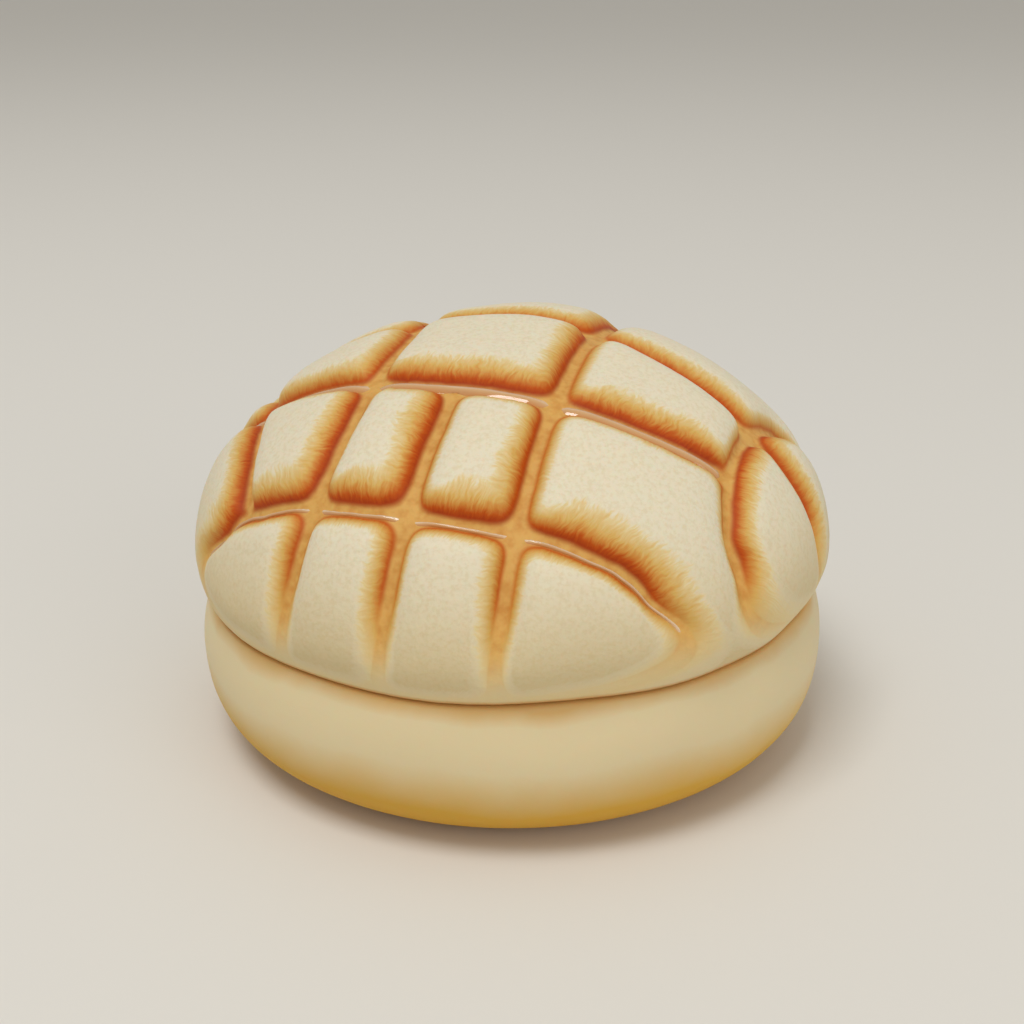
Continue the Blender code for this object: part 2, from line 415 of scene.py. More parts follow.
def sheet_distance(tree, groove, point, normal):
    """Return the signed distance of a point from a groove's sheet, and its distance along the surface."""
    heading = math.radians(groove["heading"])
    tilt = math.radians(groove["tilt"])
    along = (-math.sin(heading), math.cos(heading), 0.0)
    facing = (math.cos(heading) * math.cos(tilt), math.sin(heading) * math.cos(tilt), math.sin(tilt))
    run = add_node(tree, VECTOR, point, along, operation="DOT_PRODUCT")
    bend = groove["bow"] / BUN_RADIUS ** 2
    fall = add_node(tree, MATH, run, run, operation="MULTIPLY")
    fall = add_node(tree, MATH, fall, bend, groove["offset"], operation="MULTIPLY_ADD")
    reach = add_node(tree, VECTOR, point, facing, operation="DOT_PRODUCT")
    signed = add_node(tree, MATH, reach, fall, operation="SUBTRACT")
    turn = add_node(tree, MATH, run, -2.0 * bend, operation="MULTIPLY")
    slope = add_node(tree, VECTOR, along, named={"Scale": turn}, operation="SCALE")
    slope = add_node(tree, VECTOR, slope, facing, operation="ADD")
    lift = add_node(tree, VECTOR, slope, normal, operation="DOT_PRODUCT")
    lift = add_node(tree, VECTOR, normal, named={"Scale": lift}, operation="SCALE")
    level = add_node(tree, VECTOR, slope, lift, operation="SUBTRACT")
    steep = add_node(tree, VECTOR, level, operation="LENGTH")
    steep = add_node(tree, MATH, steep, LEAST_SLOPE, operation="MAXIMUM")
    distance = add_node(tree, MATH, signed, operation="ABSOLUTE")
    return signed, add_node(tree, MATH, distance, steep, operation="DIVIDE")


def groove_traits(tree, name, signed, distance):
    """Return how far a groove's walls are browned, with painted shade that browns walls facing right
    and towards the front further, whether it runs across and whether it is glazed.

    The last trait is the place between the glaze's borders, 0 at the front and 1 at the back.
    """
    glazed = float(name in GLAZE_BORDERS)
    facing = add_node(tree, MATH, signed, operation="SIGN")
    side = add_node(tree, MATH, distance, facing, operation="MULTIPLY")
    side = add_node(tree, RANGE, side, *GLAZE_BORDERS.get(name, (0.0, 1.0)), 0.0, 1.0)
    # The two sides' browning differs by painted shade: walls facing right and towards the front brown
    # further.
    return {
        "browning": add_node(tree, RANGE, signed, -0.5, 0.5, *GROOVES[name]["heat_and_shade"]),
        "crossing": float(name in CROSS_GROOVES),
        "glazed": glazed,
        "side": add_node(tree, MATH, side, glazed, operation="MULTIPLY"),
    }


def pale_share(tree, sheets):
    """Return how much of its browning a point keeps: less in the low row and on the leftmost pads."""
    row = add_node(tree, RANGE, sheets["cross_low"][0], -1.0, 0.5, LOW_ROW_HEAT, 1.0)
    left = add_node(tree, RANGE, sheets["middle_left"][0], -1.0, 0.5, 1.0, 0.0)
    behind = add_node(tree, RANGE, sheets["cross_front"][0], -0.5, 0.5, 0.0, 1.0)
    pad = add_node(tree, MATH, left, behind, operation="MULTIPLY")
    pad = add_node(tree, MATH, pad, LEFT_PAD_HEAT - 1.0, 1.0, operation="MULTIPLY_ADD")
    return add_node(tree, MATH, row, pad, operation="MULTIPLY")


def groove_fields(tree, point, normal, pad_edge, floor_half):
    """Return the distance from the groove floors and the mean traits of the grooves nearby."""
    sheets = {name: sheet_distance(tree, groove, point, normal) for name, groove in GROOVES.items()}
    total = 0.0
    sums = {"browning": 0.0, "crossing": 0.0, "glazed": 0.0, "side": 0.0}
    for name, groove in GROOVES.items():
        signed, distance = sheets[name]
        close = add_node(tree, MATH, pad_edge, distance, operation="SUBTRACT")
        close = add_node(tree, MATH, close, 0.0, operation="MAXIMUM")
        for other, side in groove["stops"].items():
            kept = add_node(
                tree, RANGE, sheets[other][0], -side, side, 0.0, 1.0, interpolation_type="SMOOTHSTEP"
            )
            close = add_node(tree, MATH, close, kept, operation="MULTIPLY")
        weight = add_node(tree, MATH, close, CORNER_POWER, operation="POWER")
        total = add_node(tree, MATH, weight, total, operation="ADD")
        for trait, value in groove_traits(tree, name, signed, distance).items():
            sums[trait] = add_node(tree, MATH, weight, value, sums[trait], operation="MULTIPLY_ADD")
    crowding = add_node(tree, MATH, total, 1.0 / CORNER_POWER, operation="POWER")
    edge = add_node(tree, MATH, pad_edge, crowding, operation="SUBTRACT")
    edge = add_node(tree, MATH, edge, floor_half, operation="SUBTRACT")
    means = {trait: add_node(tree, MATH, value, total, operation="DIVIDE") for trait, value in sums.items()}
    means["browning"] = add_node(
        tree, MATH, means["browning"], pale_share(tree, sheets), operation="MULTIPLY"
    )
    return edge, means


def lowered(tree, point, normal, depth):
    """Return the point moved in along the normal by the depth."""
    inward = add_node(tree, MATH, depth, -1.0, operation="MULTIPLY")
    moved = add_node(tree, VECTOR, normal, named={"Scale": inward}, operation="SCALE")
    return add_node(tree, VECTOR, point, moved, operation="ADD")


def full_drop(tree, point, depth):
    """Return how far a groove's floor lies below the envelope, which fades out towards the rim."""
    height = add_node(tree, SPLIT, point).node.outputs[2]
    fade = add_node(tree, RANGE, height, FADE_LOW, FADE_HIGH, 0.0, 1.0, interpolation_type="SMOOTHSTEP")
    return add_node(tree, MATH, fade, depth, operation="MULTIPLY")


def pad_hollow(tree, edge, pad_edge, floor_half):
    """Return how much of the groove's depth the crust has at a distance from the pad's foot."""
    width = add_node(tree, MATH, pad_edge, floor_half, operation="SUBTRACT")
    share = add_node(tree, RANGE, edge, 0.0, width, 1.0, 0.0)
    share = add_node(tree, MATH, share, PAD_TOP_POWER, operation="POWER")
    share = add_node(tree, MATH, 1.0, share, operation="SUBTRACT")
    pad = add_node(tree, MATH, share, PAD_FOOT_POWER, operation="POWER")
    return add_node(tree, MATH, 1.0, pad, operation="SUBTRACT")


def comb(tree, point, heading):
    """Return the distance in millimetres round the dome from its front, along a heading."""
    facing = (math.cos(math.radians(heading)), math.sin(math.radians(heading)), 0.0)
    flat = add_node(tree, VECTOR, point, facing, operation="DOT_PRODUCT")
    height = add_node(tree, SPLIT, point).node.outputs[2]
    height = add_node(tree, MATH, height, BELLY_HEIGHT, operation="SUBTRACT")
    angle = add_node(tree, MATH, height, flat, operation="ARCTAN2")
    return add_node(tree, MATH, angle, BUN_RADIUS, operation="MULTIPLY")


# Node trees


def new_tree(name, sizes):
    """Return a tree for a modifier, with named inputs for its sizes, and its input sockets."""
    tree = bpy.data.node_groups.new(name, "GeometryNodeTree")
    tree.interface.new_socket("Geometry", in_out="INPUT", socket_type="NodeSocketGeometry")
    for label, kind in sizes.items():
        tree.interface.new_socket(label, in_out="INPUT", socket_type=kind)
    tree.interface.new_socket("Geometry", in_out="OUTPUT", socket_type="NodeSocketGeometry")
    entry = tree.nodes.new("NodeGroupInput")
    return tree, {label: entry.outputs[label] for label in sizes}


def close_tree(tree, geometry, fields, point, finish):
    """Store what the material follows, put the points in place in metres and give them their finish."""
    for name, value in fields.items():
        geometry = add_node(
            tree, "GeometryNodeStoreNamedAttribute",
            named={"Geometry": geometry, "Name": name, "Value": value}, data_type="FLOAT", domain="POINT",
        )
    spot = add_node(tree, VECTOR, point, named={"Scale": MM}, operation="SCALE")
    placed = add_node(tree, "GeometryNodeSetPosition", named={"Geometry": geometry, "Position": spot})
    shaded = add_node(tree, "GeometryNodeSetShadeSmooth", placed)
    real = add_node(tree, "GeometryNodeRealizeInstances", shaded)
    painted = add_node(tree, "GeometryNodeSetMaterial", real, named={"Material": finish})
    leave = tree.nodes.new("NodeGroupOutput")
    tree.links.new(painted, leave.inputs["Geometry"])


def turning_sockets():
    """Return the sizes that every turned tree takes."""
    return {
        "Section": "NodeSocketObject",
        "Cells round a quarter": "NodeSocketInt",
        "Cells down the side": "NodeSocketInt",
        "Top share": "NodeSocketFloat",
        "Side share": "NodeSocketFloat",
    }


def groove_sockets():
    """Return the sizes that every scored tree takes."""
    return {
        "Groove depth": "NodeSocketFloat",
        "Floor half width": "NodeSocketFloat",
        "Pad edge": "NodeSocketFloat",
    }


def turned_fields(tree, sockets):
    """Return the point, normal and share of the section that the tree is given."""
    section = add_node(tree, "GeometryNodeObjectInfo", sockets["Section"]).node.outputs["Geometry"]
    return turned_point(tree, section, sockets["Top share"], sockets["Side share"])


def turning_cube(tree, sockets):
    """Return the cube whose rings become the surface."""
    round_cells = sockets["Cells round a quarter"]
    side_cells = sockets["Cells down the side"]
    return add_node(tree, "GeometryNodeMeshCube", (2.0, 2.0, 2.0), round_cells, round_cells, side_cells)


def bun_tree():
    """Return the tree that turns the bun and makes its dough slightly uneven."""
    sizes = turning_sockets()
    sizes["Ripple height"] = "NodeSocketFloat"
    tree, sockets = new_tree("Turned bun", sizes)
    point, normal, _ = turned_fields(tree, sockets)
    ripple = grain(tree, point, RIPPLE_LENGTH, 1.0)
    ripple = add_node(tree, MATH, ripple, sockets["Ripple height"], operation="MULTIPLY")
    height = add_node(tree, SPLIT, point).node.outputs[2]
    off_base = add_node(tree, RANGE, height, 0.0, RIPPLE_FADE, 0.0, 1.0)
    under_seam = add_node(
        tree, RANGE, height, SEAM_HEIGHT - RIPPLE_FADE, SEAM_HEIGHT - 1.0, 1.0, 0.0
    )
    ripple = add_node(tree, MATH, ripple, off_base, operation="MULTIPLY")
    ripple = add_node(tree, MATH, ripple, under_seam, operation="MULTIPLY")
    moved = add_node(tree, VECTOR, normal, named={"Scale": ripple}, operation="SCALE")
    moved = add_node(tree, VECTOR, point, moved, operation="ADD")
    close_tree(
        tree, turning_cube(tree, sockets), {"level": height}, uneven(tree, moved), bread_material()
    )
    return tree


def score(tree, sockets, point, normal):
    """Return the groove depth at a point, its distance from the floors, and the traits there."""
    deepest = full_drop(tree, point, sockets["Groove depth"])
    wander = add_node(tree, NOISE, point, named={"Scale": 1.0 / WANDER_LENGTH, "Detail": 1.0})
    wander = wander.node.outputs["Color"]
    wander = add_node(tree, VECTOR, wander, (0.5, 0.5, 0.5), operation="SUBTRACT")
    wander = add_node(tree, VECTOR, wander, named={"Scale": GROOVE_WANDER}, operation="SCALE")
    floor = lowered(tree, point, normal, deepest)
    floor = add_node(tree, VECTOR, floor, wander, operation="ADD")
    edge, traits = groove_fields(tree, floor, normal, sockets["Pad edge"], sockets["Floor half width"])
    return deepest, edge, traits


def crust_tree():
    """Return the tree that turns the crust, scores it and stores what its browning follows."""
    tree, sockets = new_tree("Scored crust", {
        **turning_sockets(),
        **groove_sockets(),
        "Lip share": "NodeSocketFloat",
        "Grain height": "NodeSocketFloat",
    })
    point, normal, share = turned_fields(tree, sockets)
    outside = add_node(tree, MATH, share, sockets["Lip share"], operation="LESS_THAN")
    deepest, edge, traits = score(tree, sockets, point, normal)
    hollow = pad_hollow(tree, edge, sockets["Pad edge"], sockets["Floor half width"])
    hollow = add_node(
        tree, "GeometryNodeBlurAttribute", data_type="FLOAT", named={"Value": hollow, "Iterations": 2}
    )
    drop = add_node(tree, MATH, deepest, hollow, operation="MULTIPLY")
    rough = grain(tree, point, GRAIN_LENGTH, 1.0)
    drop = add_node(tree, MATH, rough, sockets["Grain height"], drop, operation="MULTIPLY_ADD")
    drop = add_node(tree, MATH, drop, outside, operation="MULTIPLY")
    fields = {
        "edge": edge,
        "browning": traits["browning"],
        "crossing": traits["crossing"],
        "level": add_node(tree, SPLIT, point).node.outputs[2],
        "along": comb(tree, point, 90.0 - GRID_TURN),
        "across": comb(tree, point, -GRID_TURN),
    }
    spot = uneven(tree, lowered(tree, point, normal, drop))
    close_tree(tree, turning_cube(tree, sockets), fields, spot, crust_material())
    return tree


def glaze_bead(tree, point, edge, traits):
    """Return the place between the glaze's borders, and its height there as a share of the highest."""
    glazed = add_node(tree, MATH, traits["glazed"], 0.01, operation="MAXIMUM")
    side = add_node(tree, MATH, traits["side"], glazed, operation="DIVIDE")
    bead = add_node(tree, MATH, side, FILM_CREST_POWER, operation="POWER")
    bead = add_node(tree, MATH, bead, 2.0, -1.0, operation="MULTIPLY_ADD")
    bead = add_node(tree, MATH, bead, bead, operation="MULTIPLY")
    bead = add_node(tree, MATH, 1.0, bead, operation="SUBTRACT")
    height = add_node(tree, SPLIT, point).node.outputs[2]
    for limit in (
        add_node(tree, RANGE, traits["glazed"], 0.6, 1.0, 0.0, 1.0),
        add_node(tree, RANGE, height, *GLAZE_FADE, 0.0, 1.0, interpolation_type="SMOOTHSTEP"),
        add_node(tree, RANGE, edge, 0.5, 0.95, 1.0, 0.0),
    ):
        bead = add_node(tree, MATH, bead, limit, operation="MULTIPLY")
    return side, bead


def glaze_slab(tree, grid, bead):
    """Return the part of the grid that holds glaze as a closed slab, from 0 to 1 in height."""
    bare = add_node(tree, MATH, bead, 0.001, operation="LESS_THAN")
    patch = add_node(
        tree, "GeometryNodeDeleteGeometry", named={"Geometry": grid, "Selection": bare}, domain="FACE"
    )
    raised = add_node(
        tree, "GeometryNodeExtrudeMesh",
        named={"Mesh": patch, "Offset": (0.0, 0.0, 1.0), "Offset Scale": 1.0, "Individual": False},
    )
    joined = add_node(tree, "GeometryNodeJoinGeometry")
    for half in (raised, add_node(tree, "GeometryNodeFlipFaces", patch)):
        tree.links.new(half, joined.node.inputs[0])
    return add_node(tree, "GeometryNodeMergeByDistance", named={"Geometry": joined, "Distance": 0.0001})


def glaze_tree():
    """Return the tree that pools glaze in two cross grooves, towards the pads in front of them."""
    tree, sockets = new_tree("Pooled glaze", {
        **turning_sockets(),
        **groove_sockets(),
        "Film height": "NodeSocketFloat",
    })
    cells = sockets["Cells round a quarter"]
    grid = add_node(tree, "GeometryNodeMeshGrid", 2.0, 2.0, cells, cells)
    point, normal, _ = turned_fields(tree, sockets)
    deepest, edge, traits = score(tree, sockets, point, normal)
    side, bead = glaze_bead(tree, point, edge, traits)
    slab = glaze_slab(tree, grid, bead)
    top = add_node(tree, SPLIT, add_node(tree, "GeometryNodeInputPosition")).node.outputs[2]
    film = add_node(tree, MATH, bead, sockets["Film height"], FILM_EDGE, operation="MULTIPLY_ADD")
    rise = add_node(tree, MATH, film, top, operation="MULTIPLY")
    depth = add_node(tree, MATH, deepest, FILM_SINK, operation="ADD")
    depth = add_node(tree, MATH, depth, rise, operation="SUBTRACT")
    close_tree(
        tree, slab, {"side": side}, uneven(tree, lowered(tree, point, normal, depth)), glaze_material()
    )
    return tree


# Materials


def new_material(name):
    """Return a material with an empty node tree."""
    finish = bpy.data.materials.new(name)
    finish.use_nodes = True
    finish.node_tree.nodes.clear()
    return finish, finish.node_tree


def close_material(tree, color, bump, **named):
    """End a material in a Principled shader with the given finish."""
    inputs = {"Base Color": color, "Normal": bump}
    inputs.update(named)
    shader = add_node(tree, "ShaderNodeBsdfPrincipled", named=inputs)
    add_node(tree, "ShaderNodeOutputMaterial", shader)


def readings(tree, *stored):
    """Return the place on the piece and the fields that its tree stored there, by name."""
    found = {"place": add_node(tree, "ShaderNodeTexCoord").node.outputs["Object"]}
    for name in stored:
        found[name] = add_node(tree, "ShaderNodeAttribute", attribute_name=name).node.outputs["Fac"]
    return found


def bread_material():
    """Baked bread dough: matt and cream, golden where it met the tray, with a soft inner glow."""
    colors = bpy.context.scene.melon_bun
    finish, tree = new_material("Baked bread dough")
    reads = readings(tree, "level")
    patch = add_node(tree, NOISE, reads["place"], named={"Scale": 1.0 / (BREAD_PATCH * MM), "Detail": 3.0})
    level = add_node(tree, MATH, reads["level"], 2.0, operation="SUBTRACT")
    level = add_node(tree, MATH, patch, 4.0, level, operation="MULTIPLY_ADD")
    level = add_node(tree, RANGE, level, 0.0, SEAM_HEIGHT, 0.0, 1.0)
    color = add_node(tree, RAMP, level, stops=(
        (0.0, colors.foot),
        (0.3, colors.low),
        (0.62, colors.side),
        (0.88, colors.side),
        (0.97, colors.seam),
    ))
    # Painted shade: a thin darker line on the bread in the crease just under the crust's lip.
    under_lip_shade = add_node(tree, RANGE, reads["level"], SEAM_HEIGHT - 0.8, SEAM_HEIGHT - 0.3, 0.0, 0.4)
    color = add_node(tree, MIX, under_lip_shade, color, (*colors.under_lip_shade, 1.0), data_type="RGBA")
    pore = add_node(tree, NOISE, reads["place"], named={"Scale": 1.0 / (BREAD_PORE * MM), "Detail": 2.0})
    bump = add_node(
        tree, "ShaderNodeBump", named={"Height": pore, "Distance": BREAD_PORE_DEPTH * MM, "Strength": 0.5}
    )
    close_material(
        tree, color, bump,
        **{"Roughness": 0.62, "IOR": 1.3, "Subsurface Weight": 0.3, "Subsurface Scale": 0.002},
    )
    return finish


def hairs(tree, reads):
    """Return fine streaks of either sign that run across the pads' edges, ruffled into tufts."""
    ruffle = add_node(tree, NOISE, reads["place"], named={"Scale": 1.0 / (TUFT * MM), "Detail": 2.0})
    slant = add_node(tree, MATH, ruffle, 6.0, -3.0, operation="MULTIPLY_ADD")
    run = add_node(tree, MATH, reads["edge"], HAIR_LENGTH, operation="DIVIDE")
    drift = add_node(tree, MATH, reads["level"], HAIR_DRIFT, operation="DIVIDE")
    combed = []
    for name in ("along", "across"):
        row = add_node(tree, MATH, reads[name], 1.0 / HAIR_SPACING, slant, operation="MULTIPLY_ADD")
        spot = add_node(tree, JOIN, row, run, drift)
        combed.append(add_node(tree, NOISE, spot, named={"Scale": 1.0, "Detail": 2.0}))
    streak = add_node(tree, MIX, reads["crossing"], *combed, data_type="FLOAT")
    return add_node(tree, MATH, streak, 2.0, -1.0, operation="MULTIPLY_ADD")


def browning_and_shade_share(tree, reads):
    """Return how far the crust is browned: most at a pad's foot, least near the rim, and further on
    walls facing right and towards the front, which is painted shade.
    """
    heat_and_shade = reads["browning"]
    patch = add_node(tree, NOISE, reads["place"], named={"Scale": 1.0 / (BROWN_PATCH * MM), "Detail": 2.0})
    patch = add_node(tree, MATH, patch, 0.7, 0.65, operation="MULTIPLY_ADD")
    # Heat includes painted shade, so walls facing right and towards the front brown further.
    width = add_node(tree, MATH, heat_and_shade, BROWN_REACH_GAIN, BROWN_REACH, operation="MULTIPLY_ADD")
    width = add_node(tree, MATH, width, patch, operation="MULTIPLY")
    reach = add_node(tree, MATH, reads["edge"], width, operation="DIVIDE")
    sway = add_node(tree, RANGE, reach, 0.0, 0.7, 0.05, 0.36)
    reach = add_node(tree, MATH, hairs(tree, reads), sway, reach, operation="MULTIPLY_ADD")
    brown_and_shade = add_node(tree, MATH, 1.0, reach, operation="SUBTRACT", use_clamp=True)
    depth = add_node(tree, MATH, heat_and_shade, 0.24, 0.79, operation="MULTIPLY_ADD")
    brown_and_shade = add_node(tree, MATH, brown_and_shade, depth, operation="MULTIPLY")
    fade = add_node(
        tree, RANGE, reads["level"], *BROWN_FADE, RIM_BROWNING, 1.0, interpolation_type="SMOOTHSTEP"
    )
    return add_node(tree, MATH, brown_and_shade, fade, operation="MULTIPLY")


def pad_color(tree, reads, colors):
    """Return the colour of the pads: faintly mottled cream that browns towards their feet, further on
    walls facing right and towards the front, which is painted shade.
    """
    brown_and_shade = browning_and_shade_share(tree, reads)
    mottle = add_node(
        tree, NOISE, reads["place"],
        named={"Scale": 1.0 / (PAD_MOTTLE * MM), "Detail": 3.0, "Roughness": 0.6},
    )
    cream = add_node(tree, RAMP, mottle, stops=((0.35, colors.pad_shade), (0.55, colors.pad)))
    rim = add_node(
        tree, RANGE, reads["level"], SEAM_HEIGHT + 1.0, RIM_TOP, 0.7, 0.0, interpolation_type="SMOOTHSTEP"
    )
    cream = add_node(tree, MIX, rim, cream, (*colors.rim, 1.0), data_type="RGBA")
    baked = add_node(tree, RAMP, brown_and_shade, stops=(
        (0.0, colors.pad),
        (0.25, colors.straw),
        (0.6, colors.gold),
        (0.78, colors.amber),
        (0.9, colors.rust),
        (1.0, colors.dark),
    ))
    tint = add_node(tree, RANGE, brown_and_shade, 0.0, 0.25, 0.0, 1.0)
    return add_node(tree, MIX, tint, cream, baked, data_type="RGBA")


def crust_material():
    """Baked cookie dough: cream pads, combed brown towards their feet, over golden groove floors.

    The brown reaches further on walls facing right and towards the front, which is painted shade.
    """
    colors = bpy.context.scene.melon_crust
    finish, tree = new_material("Baked cookie dough")
    reads = readings(tree, "edge", "browning", "crossing", "level", "along", "across")
    level = reads["level"]
    speck = add_node(tree, NOISE, reads["place"], named={"Scale": 1.0 / (FLOOR_SPECK * MM), "Detail": 2.0})
    floor = add_node(tree, RAMP, speck, stops=((0.3, colors.floor_shade), (0.6, colors.floor)))
    wall = add_node(tree, RANGE, reads["edge"], -0.6, 0.2, 0.0, 1.0, interpolation_type="SMOOTHSTEP")
    healed = add_node(tree, RANGE, level, *FLOOR_FADE, 1.0, 0.0, interpolation_type="SMOOTHSTEP")
    wall = add_node(tree, MATH, wall, healed, operation="MAXIMUM")
    color = add_node(tree, MIX, wall, floor, pad_color(tree, reads, colors), data_type="RGBA")
    lip = add_node(tree, RANGE, level, SEAM_HEIGHT + 0.1, SEAM_HEIGHT + 0.9, 0.8, 0.0)
    color = add_node(tree, MIX, lip, color, (*colors.lip, 1.0), data_type="RGBA")
    pore = add_node(tree, NOISE, reads["place"], named={"Scale": 1.0 / (PAD_PORE * MM), "Detail": 3.0})
    bump = add_node(
        tree, "ShaderNodeBump", named={"Height": pore, "Distance": PAD_PORE_DEPTH * MM, "Strength": 0.8}
    )
    close_material(
        tree, color, bump,
        **{"Roughness": 0.6, "IOR": 1.3, "Subsurface Weight": 0.2, "Subsurface Scale": 0.001},
    )
    return finish


def glaze_material():
    """Thin sugar glaze, pooled and set: a see-through film with a glossy skin, palest at its back, where
    the pale tint is a painted highlight.
    """
    colors = bpy.context.scene.melon_crust
    finish, tree = new_material("Set sugar glaze")
    reads = readings(tree, "side")
    ripple = add_node(tree, NOISE, reads["place"], named={"Scale": 1.0 / (GLAZE_RIPPLE * MM), "Detail": 1.0})
    bump = add_node(
        tree, "ShaderNodeBump",
        named={"Height": ripple, "Distance": GLAZE_RIPPLE_DEPTH * MM, "Strength": 0.15},
    )
    # The palest tint, along the glaze's back border, is a painted highlight.
    tint = add_node(tree, RAMP, reads["side"], stops=(
        (0.3, colors.glaze_foot),
        (0.6, colors.glaze),
        (0.8, colors.glaze_highlight),
    ))
    close_material(
        tree, tint, bump, **{"Roughness": 0.06, "IOR": 1.5, "Alpha": 0.7, "Coat Weight": 1.0},
    )
    return finish


# Pieces


def baked_piece(name, tree, values):
    """Return a plain mesh object made by the tree with the given values for its inputs."""
    holder = bpy.data.objects.new(name + "_tree", bpy.data.meshes.new(name + "_holder"))
    bpy.context.scene.collection.objects.link(holder)
    modifier = holder.modifiers.new("Shape", "NODES")
    modifier.node_group = tree
    sockets = {item.name: item.identifier for item in tree.interface.items_tree if item.in_out == "INPUT"}
    for label, value in values.items():
        modifier[sockets[label]] = value
    graph = bpy.context.evaluated_depsgraph_get()
    mesh = bpy.data.meshes.new_from_object(holder.evaluated_get(graph))
    mesh.name = name
    finish = mesh.materials[-1]
    mesh.materials.clear()
    mesh.materials.append(finish)
    bpy.data.objects.remove(holder)
    piece = bpy.data.objects.new(name, mesh)
    bpy.context.scene.collection.objects.link(piece)
    return piece


def turned_piece(name, tree, parts, values):
    """Return a turned piece, whose section comes as parts that follow each other."""
    section = section_curve(name + "_section", [point for part in parts for point in part])
    piece = baked_piece(name, tree, {**values, "Section": section})
    bpy.data.objects.remove(section)
    return piece


def groove_sizes(sizes):
    """Return the values of the sizes that every scored tree takes, in millimetres."""
    return {
        "Groove depth": sizes.depth / MM,
        "Floor half width": sizes.floor_half / MM,
        "Pad edge": sizes.pad_edge / MM,
    }


def place_piece(piece, node):
    """Attach a piece to the root body and hide the solid that it stands for."""
    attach(piece, "root")
    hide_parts(node)


def color_setting(name, code, description):
    """Return a colour that a user can change, from its sRGB hex code."""
    return bpy.props.FloatVectorProperty(
        name=name, description=description, subtype="COLOR", default=linear(code), min=0.0, max=1.0,
    )


def length_setting(name, size, description):
    """Return a fine length that a user can change, from its size in millimetres."""
    return bpy.props.FloatProperty(
        name=name, description=description, default=size * MM, unit="LENGTH", precision=5,
    )


class BunSettings(bpy.types.PropertyGroup):
    """Sizes and colours of the bread."""

    ripple: length_setting("Ripple height", 0.05, "Height of the soft swells on the bread")
    foot: color_setting("Foot", "#d39a2e", "Colour where the bread met the tray")
    low: color_setting("Low side", "#d0a23c", "Colour of the lower side")
    side: color_setting("Side", "#dbcaa1", "Colour of the side and belly")
    seam: color_setting("Seam", "#d3ad70", "Colour just under the crust")
    # The crease colour is painted shade along the line just under the crust's lip.
    under_lip_shade: color_setting("Crease", "#ca8a32", "Colour of the browned line where the bread meets the crust")


class CrustSettings(bpy.types.PropertyGroup):
    """Sizes and colours of the cookie crust and its glaze."""

    depth: length_setting("Groove depth", 2.6, "Depth of the scored grooves below the pads")
    floor_half: length_setting("Floor half width", 1.0, "Half the width of a groove's floor")
    pad_edge: length_setting("Pad edge", 7.2, "Distance from a groove's middle to where a pad is level")
    grain: length_setting("Grain height", 0.05, "Height of the fine unevenness of the pads")
    pad: color_setting("Pad", "#e0d6bc", "Colour of the pale pads")
    pad_shade: color_setting("Pad mottle", "#dacdae", "Colour of the faint mottling on the pads")
    rim: color_setting("Rim", "#cab27a", "Colour of the crust near the seam")
    straw: color_setting("Straw", "#dcc795", "Colour of the first browning on the pads")
    gold: color_setting("Gold", "#d2a95c", "Colour where the browning is halfway")
    amber: color_setting("Amber", "#c98436", "Colour above the foot of a browned wall")
    rust: color_setting("Rust", "#bc5208", "Colour low on a browned wall")
    dark: color_setting("Dark", "#a63a04", "Colour at the foot of a browned wall")
    floor: color_setting("Floor", "#d6a65a", "Colour of the groove floors")
    floor_shade: color_setting("Floor mottle", "#c98f45", "Colour of the specks on the groove floors")
    lip: color_setting("Lip", "#c8862e", "Colour of the browned line along the crust's lip")
    film: length_setting("Glaze height", 0.75, "Height of the glaze over the groove floors")
    glaze: color_setting("Glaze", "#e2b783", "Tint of the glaze in the middle")
    glaze_foot: color_setting("Glaze foot", "#d68f4a", "Tint of the glaze against the pad in front")
    # The glaze edge colour is a painted highlight along the glaze's back border.
    glaze_highlight: color_setting("Glaze edge", "#fbe9cc", "Tint of the glaze along its back border")


class StageSettings(bpy.types.PropertyGroup):
    """Floor, light and camera."""

    floor: color_setting("Floor", "#dedbd4", "Colour of the plain floor")
    key: bpy.props.FloatProperty(
        name="Key light", description="Power of the soft light overhead", default=9.9, unit="POWER",
    )
    fill: bpy.props.FloatProperty(
        name="Fill light", description="Power of the soft front light", default=4.0, unit="POWER",
    )
    sky: bpy.props.FloatProperty(
        name="Room light", description="Strength of the even room light", default=0.6,
    )
    distance: bpy.props.FloatProperty(
        name="Camera distance", description="Distance of the camera from the middle of the bun",
        default=229.34 * MM, unit="LENGTH",
    )
    elevation: bpy.props.FloatProperty(
        name="Camera elevation", description="Angle of the camera above the horizon",
        default=math.radians(21.57), subtype="ANGLE",
    )


class MELON_OT_bun(bpy.types.Operator):
    """Add the bread bun"""

    bl_idname = "melon.bun"
    bl_label = "Add bun"

    def execute(self, context):
        parts = bun_section()
        whole = length([point for part in parts for point in part])
        piece = turned_piece("bread_bun", bun_tree(), parts, {
            "Cells round a quarter": 91,
            "Cells down the side": 91,
            "Top share": length(parts[0]) / whole,
            "Side share": length(parts[0] + parts[1]) / whole,
            "Ripple height": context.scene.melon_bun.ripple / MM,
        })
        place_piece(piece, "bun")
        return {"FINISHED"}


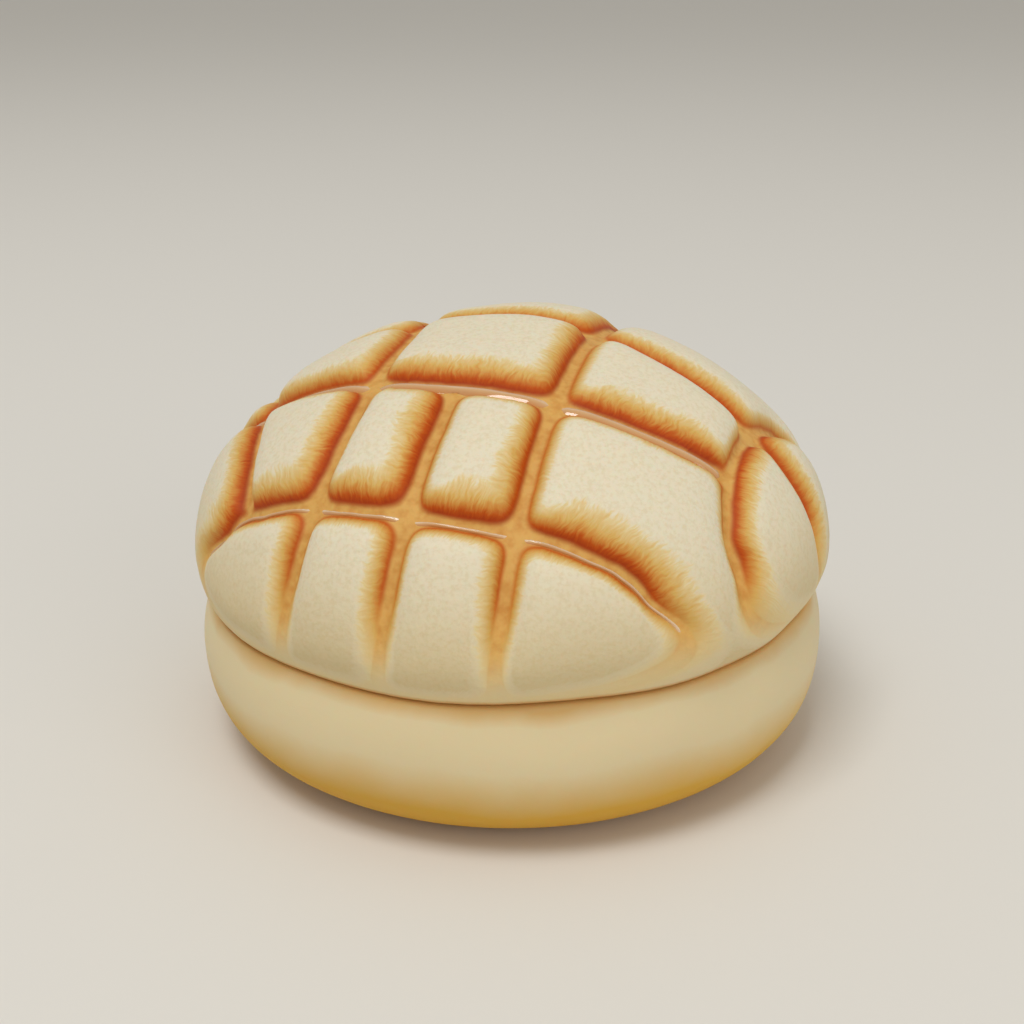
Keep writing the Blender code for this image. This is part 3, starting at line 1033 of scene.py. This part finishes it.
class MELON_OT_crust(bpy.types.Operator):
    """Add the scored cookie crust"""

    bl_idname = "melon.crust"
    bl_label = "Add crust"

    def execute(self, context):
        outer, lip, inner = crust_section()
        whole = length(outer + lip + inner)
        lip_share = length(outer) / whole
        piece = turned_piece("scored_crust", crust_tree(), (outer, lip, inner), {
            **groove_sizes(context.scene.melon_crust),
            "Cells round a quarter": 161,
            "Cells down the side": 67,
            "Top share": 0.63 * lip_share,
            "Side share": lip_share + 0.05,
            "Lip share": lip_share,
            "Grain height": context.scene.melon_crust.grain / MM,
        })
        place_piece(piece, "cookie_crust")
        return {"FINISHED"}


class MELON_OT_glaze(bpy.types.Operator):
    """Add the glaze pooled in the crust's grooves"""

    bl_idname = "melon.glaze"
    bl_label = "Add glaze"

    def execute(self, context):
        outer = crust_section()[0]
        piece = turned_piece("pooled_glaze", glaze_tree(), (outer,), {
            **groove_sizes(context.scene.melon_crust),
            "Cells round a quarter": 561,
            "Top share": 0.9,
            "Side share": 0.9,
            "Film height": context.scene.melon_crust.film / MM,
        })
        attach(piece, "root")
        return {"FINISHED"}


def soft_light(name, power, size, place, target):
    """Add a square soft light that faces its target."""
    data = bpy.data.lights.new(name, "AREA")
    data.energy = power
    data.size = size
    light = bpy.data.objects.new(name, data)
    light.location = place
    aim = target - light.location
    light.rotation_euler = aim.to_track_quat("-Z", "Y").to_euler()
    bpy.context.scene.collection.objects.link(light)


def add_floor(color):
    """Add the plain round floor that the bun stands on."""
    bpy.ops.mesh.primitive_circle_add(vertices=96, radius=12.0, fill_type="NGON", location=(0.0, 0.0, 0.0))
    floor = bpy.context.object
    floor.name = "studio_floor"
    finish, tree = new_material("Matt painted board")
    shader = add_node(tree, "ShaderNodeBsdfPrincipled", named={"Base Color": (*color, 1.0), "Roughness": 0.7})
    add_node(tree, "ShaderNodeOutputMaterial", shader)
    floor.data.materials.append(finish)


class MELON_OT_stage(bpy.types.Operator):
    """Add the floor, the lights and the camera"""

    bl_idname = "melon.stage"
    bl_label = "Add studio"

    def execute(self, context):
        scene = context.scene
        sizes = scene.melon_stage
        low, high = CAD_BOX
        middle = (low + high) / 2.0
        middle.xy = (0.0, 0.0)
        add_floor(sizes.floor)
        for name, light in LIGHTS.items():
            soft_light(name, getattr(sizes, name), light["size"], light["place"], middle)
        scene.world = bpy.data.worlds.new("Studio room")
        scene.world.use_nodes = True
        room = scene.world.node_tree.nodes["Background"]
        room.inputs["Color"].default_value = (*linear("#ece9e3"), 1.0)
        room.inputs["Strength"].default_value = sizes.sky
        camera = bpy.data.objects.new("camera", bpy.data.cameras.new("camera"))
        camera.data.lens = 50.0
        camera.data.sensor_width = 36.0
        camera.data.clip_start = 0.01
        camera.location = (
            0.0,
            -sizes.distance * math.cos(sizes.elevation),
            middle.z + sizes.distance * math.sin(sizes.elevation),
        )
        camera.rotation_euler = (math.pi / 2.0 - sizes.elevation, 0.0, 0.0)
        scene.collection.objects.link(camera)
        scene.camera = camera
        scene.view_settings.view_transform = "Standard"
        return {"FINISHED"}


class MELON_PT_panel(bpy.types.Panel):
    """Buttons that build the melon pan"""

    bl_label = "Melon pan"
    bl_idname = "MELON_PT_panel"
    bl_space_type = "VIEW_3D"
    bl_region_type = "UI"
    bl_category = "Melon pan"

    def draw(self, context):
        for kind in PIECES:
            self.layout.operator(kind.bl_idname)


SETTINGS = {
    "melon_bun": BunSettings,
    "melon_crust": CrustSettings,
    "melon_stage": StageSettings,
}
PIECES = (MELON_OT_bun, MELON_OT_crust, MELON_OT_glaze, MELON_OT_stage)


def register():
    for name, kind in SETTINGS.items():
        bpy.utils.register_class(kind)
        setattr(bpy.types.Scene, name, bpy.props.PointerProperty(type=kind))
    for kind in (*PIECES, MELON_PT_panel):
        bpy.utils.register_class(kind)


def unregister():
    for kind in (MELON_PT_panel, *PIECES):
        bpy.utils.unregister_class(kind)
    for name, kind in SETTINGS.items():
        delattr(bpy.types.Scene, name)
        bpy.utils.unregister_class(kind)


def main():
    register()
    bpy.ops.melon.bun()
    bpy.ops.melon.crust()
    bpy.ops.melon.glaze()
    bpy.ops.melon.stage()


if __name__ == "__main__":
    main()
